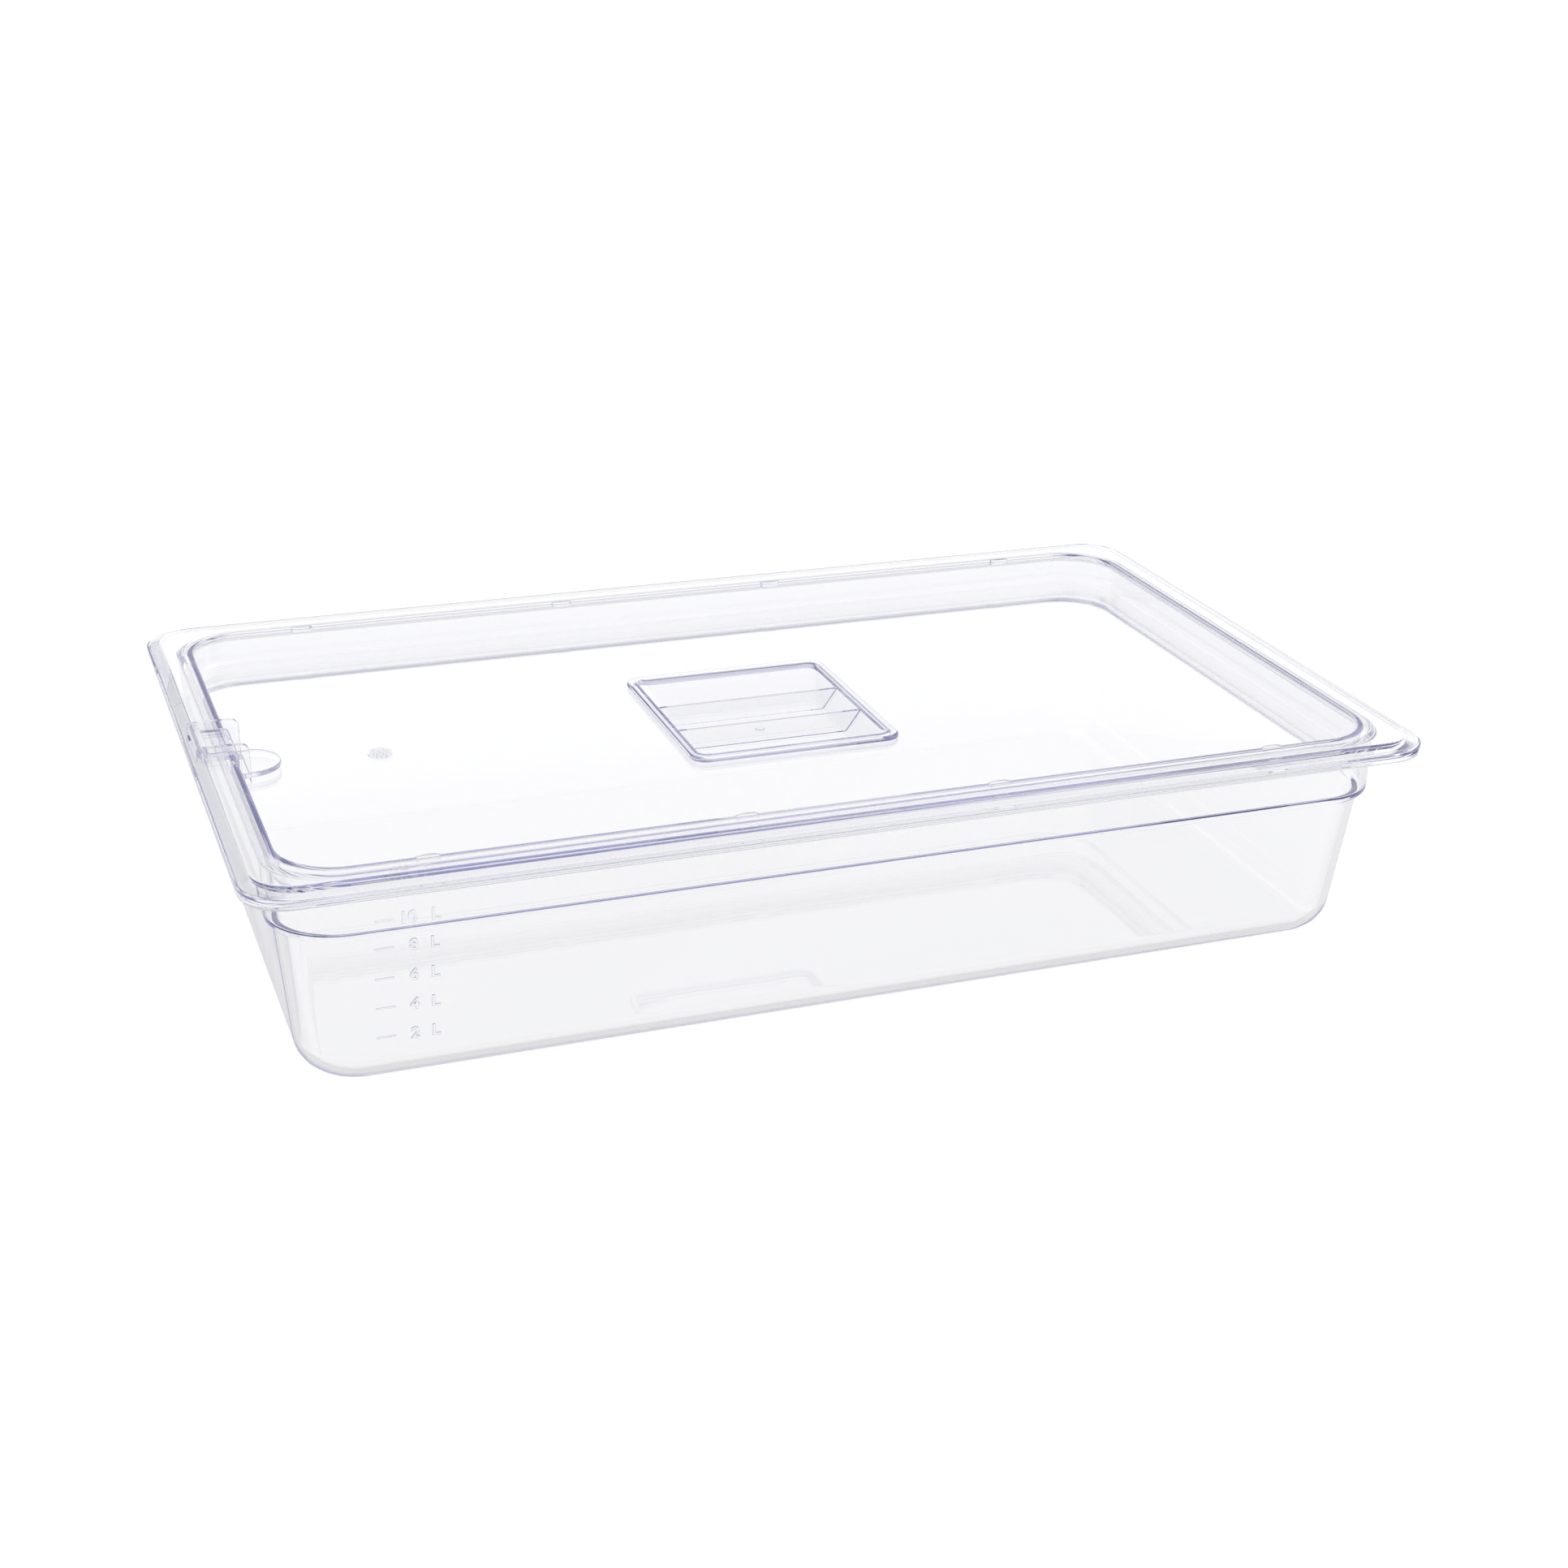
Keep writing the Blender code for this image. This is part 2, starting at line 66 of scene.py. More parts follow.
WALL = 2.5
FLOOR = 3.0
BAND_INSET = 12.5
BAND_DRAFT = 0.4
BAND_RADIUS = 29.5
SHOULDER_HEIGHT = 72.0
SHOULDER_STEP = 3.0
SHOULDER_FILLET = 1.8
SHOULDER_ROOT_FILLET = 0.6
LEDGE_ROOT_FILLET = 0.8
LEDGE_FILLET = 1.8
BASE_INSET = 23.3
BASE_RADIUS = 26.0
BOTTOM_FILLET = 16.0
EDGE_RADIUS = 20.0
FLANGE_RADIUS = 16.7
BEVEL_INSET = 6.2
BEVEL_DROP = 2.2
PAN_EDGE_INSET = 0.3
PAN_EDGE_BOTTOM = 94.9
PAN_EDGE_TOP = PAN_HEIGHT - 3.1  # where the pan's bevel starts
PAN_EDGE_THICKNESS = 2.3
PAN_BEVEL_INSET = 6.5
PAN_BEVEL_FILLET = 2.0
FLANGE_THICKNESS = 2.8
FLANGE_ROOT_FILLET = 1.0
FLANGE_FLAT_INSET = 7.2   # outer end of the flat under the pan's flange

CHEEK_RISE = 4.5
LID_THICKNESS = 2.2
LID_TOP = LID_HIGH.z - CHEEK_RISE
LID_UNDERSIDE = LID_TOP - LID_THICKNESS
BEVEL_EDGE_INSET = 0.9    # where the lid's bevel meets its outer lip
BEVEL_EDGE_RADIUS = 19.3
LID_BEVEL_FILLET = 3.0
UNDER_BEVEL_INSET = 6.3   # outer end of the flat under the lid's flange
LIP_TOP = LID_TOP - 3.0
LIP_BOTTOM = LID_TOP - 4.4
LIP_THICKNESS = 1.9
LIP_FOOT_FILLET = 0.2
RECESS_INSET = 18.7
RECESS_RADIUS = 26.3
RECESS_DRAFT = 0.9
RECESS_FOOT_FILLET = 2.0
PLUG_FOOT_FILLET = 3.6
PANEL_UNDERSIDE = LID_LOW.z
PANEL_TOP = PANEL_UNDERSIDE + LID_THICKNESS

LUG_PLACES = (-190.0, -57.0, 57.0, 190.0)
LUG_HALF_LENGTH = 5.0
LUG_HALF_DEPTH = 2.0
LUG_PROUD = 2.2
LUG_HEIGHT = 3.0
LUG_SIDES = 36
LUG_SUNK = 0.05
LUG_ROUNDING = 0.35

NOTCH_HALF_WIDTH = 14.4
NOTCH_OUTER_X = -262.4
NOTCH_INNER_X = -239.4
SLOT_BELOW = 5.0          # how far the slot's cutter runs under the panel
SLOT_ABOVE = 10.0         # the same over the lid's flange
CHEEK_THICKNESS = 2.2
CHEEK_OUTER_X = -262.3
CHEEK_INNER_X = -239.7
CHEEK_CORNER_RADIUS = 4.0
CHEEK_CORNER_STEPS = 10
CHEEK_END_RADIUS = 2.0
CHEEK_END_STEPS = 8
CHEEK_BITE = 0.4          # how far a cheek runs into the slot before it's trimmed
CHEEK_FOOT_RISE = 0.4     # above the panel's underside
CHEEK_ROUNDING = 0.35
CHEEK_DROP = 1.2          # how far a cheek runs down into the flange
CHEEK_OUTER_DROP = 2.6    # the same at its outer end, under the bevel
HINGE = Vector(((PIN_LOW.x + PIN_HIGH.x) / 2, 0, (PIN_LOW.z + PIN_HIGH.z) / 2))
PIN_RADIUS = (PIN_HIGH.z - PIN_LOW.z) / 2
BORE_RADIUS = 1.8
BORE_MARGIN = 1.0         # how far a bore's cutter runs past each end

HANDLE_RADIUS = 8.0
HANDLE_RIM_THICKNESS = 2.2
HANDLE_RIM_FILLET = 1.2
POCKET_MOUTH = (46.2, 50.0)
POCKET_MOUTH_RADIUS = 5.0
POCKET_FLOOR = (38.0, 30.0)
POCKET_FLOOR_RADIUS = 4.0
POCKET_FLOOR_FILLET = 1.5
POCKET_WALL = 2.2
POCKET_FOOT_RADIUS = 5.5
POCKET_FOOT_FILLET = 2.5
POCKET_ROOT_RADIUS = 6.0  # of the outer wall under the rim
POCKET_ROOT_FILLET = 0.1
OUTER_CENTRE_INSET = 5.0  # where the sections of the pocket's floor end
OUTER_CENTRE_RADIUS = 3.0
INNER_CENTRE_INSET = 4.0
INNER_CENTRE_RADIUS = 2.0
HANDLE_HOLE_HALF = (48.0, 51.4)
HANDLE_HOLE_RADIUS = 6.0
RIB_PLACES = (-15.2, 15.2)
RIB_THICKNESS = 2.0
RIB_BELOW_RIM = 1.5
RIB_ROUNDING = 0.3

FLAP_THICKNESS = 2.2
FLAP_EYE_RADIUS = 2.6
FLAP_EYE_ARC = (40, 270)  # degrees, around the eye's free side
FLAP_EYE_STEPS = 24
FLAP_EYE_RUN = 2.4        # hinge axis to where the top plate starts
FLAP_BEND_RADIUS = 3.0
FLAP_BEND_STEPS = 8
FLAP_GUSSET = 0.6         # in the corner between the plate and the upright
FLAP_DROP_X = -244.2      # inner face of the flap's upright
FLAP_ROUNDING = 0.3
TAB_THICKNESS = 2.4
TAB_LIFT = 0.05           # tab's underside above the upright's foot
TAB_MARGIN = 0.1          # tab's side inside the upright's side
TAB_ARC = (-89, 89)       # degrees
TAB_STEPS = 32
TAB_ROUNDING = 0.5
PIN_ROUNDING = 0.3


# ------------------------------------------------------------------ mesh tools
def arc(centre_a, centre_b, radius, start, end, steps):
    """Points of an arc, in degrees."""
    points = []
    for step in range(steps + 1):
        angle = math.radians(start + (end - start) * step / steps)
        points.append((centre_a + radius * math.cos(angle), centre_b + radius * math.sin(angle)))
    return points


def rounded_rectangle(half_x, half_y, radius, height):
    """Loop of points, counter-clockwise seen from above."""
    points = []
    for quarter, (side_x, side_y) in enumerate(((1, 1), (-1, 1), (-1, -1), (1, -1))):
        centre_x = side_x * (half_x - radius)
        centre_y = side_y * (half_y - radius)
        for x, y in arc(centre_x, centre_y, radius, 90 * quarter, 90 * quarter + 90, CORNER_STEPS):
            points.append(Vector((x, y, height)))
    return points


def rounded_path(corners):
    """Path through (point, fillet) corners, each fillet an arc.

    A point is (half length, height, half width, plan radius). The fillet lies in
    the plane of its first two values, and the other two change along with them.
    """
    path = [corners[0][0]]
    for (before, _), (corner, fillet), (after, _) in zip(corners, corners[1:], corners[2:]):
        back = before - corner
        ahead = after - corner
        half_turn = (math.pi - back.xy.angle(ahead.xy)) / 2
        reach = fillet * math.tan(half_turn)
        first = corner + back * reach / back.xy.length
        last = corner + ahead * reach / ahead.xy.length
        for step in range(FILLET_STEPS + 1):
            t = step / FILLET_STEPS
            pull = 2 * t * (1 - t) * math.cos(half_turn)
            blend = first * (1 - t) ** 2 + corner * pull + last * t ** 2
            path.append(blend / ((1 - t) ** 2 + pull + t ** 2))
    path.append(corners[-1][0])
    return path


def loops_through(corners):
    return [
        rounded_rectangle(half_x, half_y, radius, height)
        for half_x, height, half_y, radius in rounded_path(corners)
    ]


def inset_corners(stations):
    """Corners for (inset from the outline, height, plan radius, fillet) stations."""
    return [
        (Vector((LENGTH / 2 - inset, height, WIDTH / 2 - inset, radius)), fillet)
        for inset, height, radius, fillet in stations
    ]


def loft(loops):
    """Closed solid through loops that run up its outside, then down its inside."""
    bm = bmesh.new()
    rings = [[bm.verts.new(point) for point in loop] for loop in loops]
    for lower, upper in zip(rings, rings[1:]):
        for i, corner in enumerate(lower):
            j = (i + 1) % len(lower)
            bm.faces.new((corner, lower[j], upper[j], upper[i]))
    bm.faces.new(reversed(rings[0]))
    bm.faces.new(rings[-1])
    return bm


def extrude(outline, depth):
    """Prism of a flat outline along depth."""
    bm = bmesh.new()
    face = bm.faces.new([bm.verts.new(point) for point in outline])
    grown = bmesh.ops.extrude_face_region(bm, geom=[face])["geom"]
    moved = [item for item in grown if isinstance(item, bmesh.types.BMVert)]
    bmesh.ops.translate(bm, verts=moved, vec=depth)
    bmesh.ops.recalc_face_normals(bm, faces=bm.faces)
    return bm


def side_plate(outline_xz, low_y, high_y):
    return extrude([Vector((x, low_y, z)) for x, z in outline_xz], Vector((0, high_y - low_y, 0)))


def ease_edges(bm, width, segments=3, angle=30):
    """Round the edges sharper than angle, in degrees."""
    limit = math.radians(angle)
    sharp = [edge for edge in bm.edges if edge.calc_face_angle(0) > limit]
    bmesh.ops.bevel(
        bm, geom=sharp, offset=width, segments=segments, profile=0.5, affect="EDGES", clamp_overlap=True
    )
    return bm


def column(radius, height, sides, centre, axis="Z"):
    """Cylinder along axis about centre."""
    bm = bmesh.new()
    bmesh.ops.create_cone(
        bm, cap_ends=True, segments=sides, radius1=radius, radius2=radius, depth=height
    )
    if axis == "Y":
        turn = Vector((0, 0, 1)).rotation_difference(Vector((0, 1, 0))).to_matrix()
        bmesh.ops.rotate(bm, verts=bm.verts, cent=(0, 0, 0), matrix=turn)
    bmesh.ops.translate(bm, verts=bm.verts, vec=centre)
    return bm


def new_object(name, bm):
    """Object of a bmesh that is in millimetres in the part's frame."""
    bmesh.ops.scale(bm, verts=bm.verts, vec=(MM, MM, MM))
    mesh = bpy.data.meshes.new(name)
    bm.to_mesh(mesh)
    bm.free()
    obj = bpy.data.objects.new(name, mesh)
    bpy.context.collection.objects.link(obj)
    return obj


def combine(target, parts):
    """Add or cut each (operation, bmesh) with an exact boolean, and keep the result."""
    helpers = []
    for operation, bm in parts:
        helper = new_object("helper", bm)
        modifier = target.modifiers.new("combine", "BOOLEAN")
        modifier.operation = operation
        modifier.solver = "EXACT"
        modifier.object = helper
        helpers.append(helper)
    depsgraph = bpy.context.evaluated_depsgraph_get()
    joined = bpy.data.meshes.new_from_object(target.evaluated_get(depsgraph))
    target.modifiers.clear()
    target.data = joined
    for helper in helpers:
        bpy.data.objects.remove(helper, do_unlink=True)
    return target


def finish_surface(obj, sharp_angle=35):
    """Smooth shading that keeps flat faces flat and sharp edges sharp."""
    obj.data.shade_smooth()
    obj.data.set_sharp_from_angle(angle=math.radians(sharp_angle))
    modifier = obj.modifiers.new("flat_faces", "WEIGHTED_NORMAL")
    modifier.keep_sharp = True
    modifier.weight = 100
    return obj


# ------------------------------------------------------------------- materials
PLASTIC_COLOUR = (0.973, 0.974, 0.976, 1.0)
PLASTIC_IOR = 1.585
RIPPLE_SCALE = 22.0       # of the noise, in the object's metres
RIPPLE_DETAIL = 2.0
RIPPLE_STRENGTH = 0.015
RIPPLE_HEIGHT = 0.002     # in metres
WEAR_SCALE = 90.0
WEAR_DETAIL = 6.0
WEAR_NOISE = (0.4, 0.75)  # the noise's range that goes from polished to worn
WEAR_ROUGHNESS = (0.0, 0.02)
CLEAR_TINT = ((0.3, 0.3, 0.68), 3.2)  # absorption colour, and density per metre
VIOLET_TINT = ((0.2, 0.2, 0.65), 7.0)


def polycarbonate(name, tint, density):
    """Clear moulded plastic: polished, with faint flow ripple, and a cast where it's thick."""
    material = bpy.data.materials.new(name)
    material.use_nodes = True
    tree = material.node_tree
    nodes, links = tree.nodes, tree.links
    shader = nodes["Principled BSDF"]
    shader.inputs["Base Color"].default_value = PLASTIC_COLOUR
    shader.inputs["Transmission Weight"].default_value = 1.0
    shader.inputs["IOR"].default_value = PLASTIC_IOR
    place = nodes.new("ShaderNodeTexCoord")
    flow = nodes.new("ShaderNodeTexNoise")
    flow.inputs["Scale"].default_value = RIPPLE_SCALE
    flow.inputs["Detail"].default_value = RIPPLE_DETAIL
    links.new(place.outputs["Object"], flow.inputs["Vector"])
    bump = nodes.new("ShaderNodeBump")
    bump.inputs["Strength"].default_value = RIPPLE_STRENGTH
    bump.inputs["Distance"].default_value = RIPPLE_HEIGHT
    links.new(flow.outputs["Fac"], bump.inputs["Height"])
    links.new(bump.outputs["Normal"], shader.inputs["Normal"])
    wear = nodes.new("ShaderNodeTexNoise")
    wear.inputs["Scale"].default_value = WEAR_SCALE
    wear.inputs["Detail"].default_value = WEAR_DETAIL
    links.new(place.outputs["Object"], wear.inputs["Vector"])
    polish = nodes.new("ShaderNodeMapRange")
    polish.inputs["From Min"].default_value = WEAR_NOISE[0]
    polish.inputs["From Max"].default_value = WEAR_NOISE[1]
    polish.inputs["To Min"].default_value = WEAR_ROUGHNESS[0]
    polish.inputs["To Max"].default_value = WEAR_ROUGHNESS[1]
    links.new(wear.outputs["Fac"], polish.inputs["Value"])
    links.new(polish.outputs["Result"], shader.inputs["Roughness"])
    volume = nodes.new("ShaderNodeVolumeAbsorption")
    volume.inputs["Color"].default_value = (*tint, 1.0)
    volume.inputs["Density"].default_value = density
    links.new(volume.outputs["Volume"], nodes["Material Output"].inputs["Volume"])
    return material


def dress(obj, material, body, node):
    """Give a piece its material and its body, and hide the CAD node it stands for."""
    obj.data.materials.clear()
    obj.data.materials.append(material)
    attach(obj, body)
    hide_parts(node)
    return obj


def mark(obj, material, body):
    """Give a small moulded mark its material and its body."""
    obj.data.materials.clear()
    obj.data.materials.append(material)
    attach(obj, body)
    return obj


# ------------------------------------------------------------------------- pan
def pan_stations():
    """The pan's section: base, outer wall and flange, then the inside."""
    foot_inset = BAND_INSET + BAND_DRAFT
    lower_inset = foot_inset + SHOULDER_STEP
    lower_radius = BAND_RADIUS - SHOULDER_STEP / 2
    flange_bottom = PAN_HEIGHT - FLANGE_THICKNESS
    edge_inner_inset = PAN_EDGE_INSET + PAN_EDGE_THICKNESS
    edge_inner_radius = EDGE_RADIUS - edge_inner_inset / 2
    ledge = SHOULDER_HEIGHT + WALL
    inner_fillet = BOTTOM_FILLET - WALL
    inner_base_inset = BASE_INSET + WALL
    inner_base_radius = BASE_RADIUS - WALL
    return [
        (BASE_INSET + BOTTOM_FILLET, 0.0, BASE_RADIUS - BOTTOM_FILLET, 0),
        (BASE_INSET, 0.0, BASE_RADIUS, BOTTOM_FILLET),
        (lower_inset, SHOULDER_HEIGHT, lower_radius, SHOULDER_ROOT_FILLET),
        (foot_inset, SHOULDER_HEIGHT, BAND_RADIUS, SHOULDER_FILLET),
        (BAND_INSET, flange_bottom, BAND_RADIUS, FLANGE_ROOT_FILLET),
        (FLANGE_FLAT_INSET, flange_bottom, FLANGE_RADIUS, EDGE_FILLET),
        (edge_inner_inset, flange_bottom - BEVEL_DROP / 2, edge_inner_radius, EDGE_FILLET),
        (edge_inner_inset, PAN_EDGE_BOTTOM, edge_inner_radius, EDGE_FILLET),
        (PAN_EDGE_INSET, PAN_EDGE_BOTTOM, EDGE_RADIUS, EDGE_FILLET),
        (PAN_EDGE_INSET, PAN_EDGE_TOP, EDGE_RADIUS, EDGE_FILLET),
        (PAN_BEVEL_INSET, PAN_HEIGHT, FLANGE_RADIUS, PAN_BEVEL_FILLET),
        (BAND_INSET + WALL, PAN_HEIGHT, BAND_RADIUS - WALL, EDGE_FILLET),
        (foot_inset + WALL, ledge, BAND_RADIUS - WALL, LEDGE_ROOT_FILLET),
        (lower_inset + WALL, ledge, lower_radius - WALL, LEDGE_FILLET),
        (inner_base_inset, FLOOR, inner_base_radius, inner_fillet),
        (inner_base_inset + inner_fillet, FLOOR, inner_base_radius - inner_fillet, 0),
    ]


def make_pan():
    pan = new_object("pan_shell", loft(loops_through(inset_corners(pan_stations()))))
    return finish_surface(pan)


# ------------------------------------------------------------------------- lid
def lid_stations():
    """The lid's section: under the panel, plug, flange and lip, then the top."""
    plug_inset = RECESS_INSET - LID_THICKNESS
    plug_radius = RECESS_RADIUS + LID_THICKNESS
    plug_foot = plug_inset + RECESS_DRAFT
    wall_foot = RECESS_INSET + RECESS_DRAFT
    lip_inner_radius = EDGE_RADIUS - LIP_THICKNESS
    return [
        (plug_foot + PLUG_FOOT_FILLET, PANEL_UNDERSIDE, plug_radius - PLUG_FOOT_FILLET, 0),
        (plug_foot, PANEL_UNDERSIDE, plug_radius, PLUG_FOOT_FILLET - LEAST_FLAT),
        (plug_inset, LID_UNDERSIDE, plug_radius, EDGE_FILLET),
        (UNDER_BEVEL_INSET, LID_UNDERSIDE, FLANGE_RADIUS, EDGE_FILLET),
        (LIP_THICKNESS, LIP_BOTTOM, lip_inner_radius, LIP_FOOT_FILLET),
        (0.0, LIP_BOTTOM, EDGE_RADIUS, EDGE_FILLET),
        (0.0, LIP_TOP, EDGE_RADIUS, EDGE_FILLET),
        (BEVEL_EDGE_INSET, LID_TOP - BEVEL_DROP, BEVEL_EDGE_RADIUS, EDGE_FILLET),
        (BEVEL_INSET, LID_TOP, FLANGE_RADIUS, LID_BEVEL_FILLET),
        (RECESS_INSET, LID_TOP, RECESS_RADIUS, EDGE_FILLET),
        (wall_foot, PANEL_TOP, RECESS_RADIUS, RECESS_FOOT_FILLET - LEAST_FLAT),
        (wall_foot + RECESS_FOOT_FILLET, PANEL_TOP, RECESS_RADIUS - RECESS_FOOT_FILLET, 0),
    ]


def cheek_outline():
    """Side view of one notch cheek."""
    top = LID_TOP + CHEEK_RISE
    foot = PANEL_UNDERSIDE + CHEEK_FOOT_RISE
    plug_x = -(LENGTH / 2 - RECESS_INSET + LID_THICKNESS / 2)
    radius = CHEEK_CORNER_RADIUS
    corner = arc(CHEEK_INNER_X - radius, top - radius, radius, 0, 90, CHEEK_CORNER_STEPS)
    end = CHEEK_END_RADIUS
    boss = arc(CHEEK_OUTER_X + end, top - end, end, 90, 180, CHEEK_END_STEPS)
    return [
        (CHEEK_OUTER_X, LID_TOP - CHEEK_OUTER_DROP),
        (BEVEL_INSET - LENGTH / 2, LID_TOP - CHEEK_DROP),
        (plug_x, LID_TOP - CHEEK_DROP),
        (plug_x, foot),
        (CHEEK_INNER_X, foot),
        *corner,
        *boss,
    ]


def lug(side, x):
    """Half-oval stacking lug on the rim of the recess."""
    y = side * (WIDTH / 2 - RECESS_INSET - LUG_PROUD + LUG_HALF_DEPTH)
    bm = column(1.0, LUG_HEIGHT, LUG_SIDES, (0, 0, LID_TOP - LUG_SUNK - LUG_HEIGHT / 2))
    bmesh.ops.scale(bm, verts=bm.verts, vec=(LUG_HALF_LENGTH, LUG_HALF_DEPTH, 1))
    bmesh.ops.translate(bm, verts=bm.verts, vec=(x, y, 0))
    return ease_edges(bm, LUG_ROUNDING)


def make_lid():
    lid = new_object("lid_shell", loft(loops_through(inset_corners(lid_stations()))))
    parts = []
    for side in (-1, 1):
        for x in LUG_PLACES:
            parts.append(("UNION", lug(side, x)))
    for side in (-1, 1):
        inner_y = side * (NOTCH_HALF_WIDTH - CHEEK_BITE)
        outer_y = side * (NOTCH_HALF_WIDTH + CHEEK_THICKNESS)
        cheek = side_plate(cheek_outline(), min(inner_y, outer_y), max(inner_y, outer_y))
        parts.append(("UNION", ease_edges(cheek, CHEEK_ROUNDING)))
    slot_low = PANEL_UNDERSIDE - SLOT_BELOW
    slot_high = LID_TOP + SLOT_ABOVE
    slot = [
        (NOTCH_OUTER_X, slot_low),
        (NOTCH_INNER_X, slot_low),
        (NOTCH_INNER_X, slot_high),
        (NOTCH_OUTER_X, slot_high),
    ]
    parts.append(("DIFFERENCE", side_plate(slot, -NOTCH_HALF_WIDTH, NOTCH_HALF_WIDTH)))
    bore_length = PIN_HIGH.y - PIN_LOW.y + 2 * BORE_MARGIN
    parts.append(("DIFFERENCE", column(BORE_RADIUS, bore_length, ROUND_SIDES, HINGE, "Y")))
    hole = [
        rounded_rectangle(*HANDLE_HOLE_HALF, HANDLE_HOLE_RADIUS, height)
        for height in (PANEL_UNDERSIDE - CUT_MARGIN, PANEL_TOP + CUT_MARGIN)
    ]
    parts.append(("DIFFERENCE", loft(hole)))
    return finish_surface(combine(lid, parts))


# ---------------------------------------------------------------------- handle
def make_handle():
    """Ribbed pocket: a rim on the panel, sloping walls and a flat floor."""
    half = ((HANDLE_HIGH.x - HANDLE_LOW.x) / 2, (HANDLE_HIGH.y - HANDLE_LOW.y) / 2)
    floor_bottom = HANDLE_LOW.z
    floor_top = floor_bottom + POCKET_WALL
    rim_top = HANDLE_HIGH.z
    rim_bottom = rim_top - HANDLE_RIM_THICKNESS
    depth = rim_top - floor_top
    slopes = [(mouth - floor) / depth for mouth, floor in zip(POCKET_MOUTH, POCKET_FLOOR)]
    walls = [POCKET_WALL * math.hypot(1, slope) for slope in slopes]

    def corner(half_size, height, radius, fillet):
        return (Vector((half_size[0], height, half_size[1], radius)), fillet)

    def outer_half(height):
        run = height - floor_top
        return [floor + slope * run + wall for floor, slope, wall in zip(POCKET_FLOOR, slopes, walls)]

    outer_foot = outer_half(floor_bottom)
    outer_centre = [side - OUTER_CENTRE_INSET for side in outer_foot]
    inner_centre = [side - INNER_CENTRE_INSET for side in POCKET_FLOOR]
    loops = loops_through([
        corner(outer_centre, floor_bottom, OUTER_CENTRE_RADIUS, 0),
        corner(outer_foot, floor_bottom, POCKET_FOOT_RADIUS, POCKET_FOOT_FILLET),
        corner(outer_half(rim_bottom), rim_bottom, POCKET_ROOT_RADIUS, POCKET_ROOT_FILLET),
        corner(half, rim_bottom, HANDLE_RADIUS, EDGE_FILLET),
        corner(half, rim_top, HANDLE_RADIUS, HANDLE_RIM_FILLET),
        corner(POCKET_MOUTH, rim_top, POCKET_MOUTH_RADIUS, HANDLE_RIM_FILLET),
        corner(POCKET_FLOOR, floor_top, POCKET_FLOOR_RADIUS, POCKET_FLOOR_FILLET),
        corner(inner_centre, floor_top, INNER_CENTRE_RADIUS, 0),
    ])
    handle = new_object("handle_pocket", loft(loops))
    rib_top = rim_top - RIB_BELOW_RIM
    sunk = POCKET_WALL / 2
    top_half = POCKET_MOUTH[0] - slopes[0] * RIB_BELOW_RIM + sunk
    low_half = POCKET_FLOOR[0] - slopes[0] * sunk + sunk
    rib = [
        (-low_half, floor_top - sunk),
        (low_half, floor_top - sunk),
        (top_half, rib_top),
        (-top_half, rib_top),
    ]
    parts = []
    for middle in RIB_PLACES:
        plate = side_plate(rib, middle - RIB_THICKNESS / 2, middle + RIB_THICKNESS / 2)
        parts.append(("UNION", ease_edges(plate, RIB_ROUNDING)))
    return finish_surface(combine(handle, parts))


# ------------------------------------------------------------------ notch flap
def make_flap():
    """Hinge eye, top plate, upright and half-round thumb tab."""
    half_width = FLAP_HIGH.y
    under = HINGE.z - FLAP_EYE_RADIUS
    top = under + FLAP_THICKNESS
    tab_low = FLAP_LOW.z
    drop = FLAP_DROP_X
    bend = FLAP_BEND_RADIUS
    outline = [
        (drop - FLAP_THICKNESS, under - FLAP_GUSSET),
        (drop - FLAP_THICKNESS, tab_low),
        (drop, tab_low),
        *arc(drop - bend, top - bend, bend, 0, 90, FLAP_BEND_STEPS),
        (HINGE.x + FLAP_EYE_RUN, top),
        *arc(HINGE.x, HINGE.z, FLAP_EYE_RADIUS, *FLAP_EYE_ARC, FLAP_EYE_STEPS),
        (drop - FLAP_THICKNESS - FLAP_GUSSET, under),
    ]
    body = ease_edges(side_plate(outline, -half_width, half_width), FLAP_ROUNDING, angle=50)
    flap = new_object("flap_plate", body)
    tab_side = half_width - TAB_MARGIN
    tab_outline = [
        (drop - FLAP_THICKNESS / 2, tab_side),
        (drop - FLAP_THICKNESS / 2, -tab_side),
        *arc(FLAP_HIGH.x - half_width, 0, half_width, *TAB_ARC, TAB_STEPS),
    ]
    tab_corners = [Vector((x, y, tab_low + TAB_LIFT)) for x, y in tab_outline]
    tab = extrude(tab_corners, Vector((0, 0, TAB_THICKNESS)))
    bore = column(BORE_RADIUS, 2 * (half_width + BORE_MARGIN), ROUND_SIDES, HINGE, "Y")
    parts = [("UNION", ease_edges(tab, TAB_ROUNDING)), ("DIFFERENCE", bore)]
    return finish_surface(combine(flap, parts))


def make_pin():
    bm = column(PIN_RADIUS, PIN_HIGH.y - PIN_LOW.y, ROUND_SIDES, HINGE, "Y")
    return finish_surface(new_object("pin_rod", ease_edges(bm, PIN_ROUNDING, angle=60)))


# ----------------------------------------------------------------------- marks
BAR_HEIGHTS = (            # (litres, height)
    (2, 23.7), (4, 37.7), (6, 51.6), (8, 65.6), (10, 79.8),
)
BAR_START_X = -213.5
BAR_LENGTH = 8.0
BAR_THICKNESS = 0.8
BAR_ROUNDING = 0.12
DIGIT_X = -199.5
SECOND_DIGIT_SHIFT = 4.4  # to the left, for a figure of two digits
UNIT_X = -191.0
LETTER_SIZE = 7.4         # of the font, its capitals are about 0.7 of it
LETTER_WEIGHT = 0.12
LETTER_BEVEL = 0.1
LETTER_REACH = 1.0        # above and below a figure, to find how the wall leans there
MARK_PROUD = 0.35
MARK_SUNK = 0.15
DIAL_CENTRE = (-180.5, 0.0)
DIAL_RADIUS = 5.5
DIAL_PROUD = 0.8
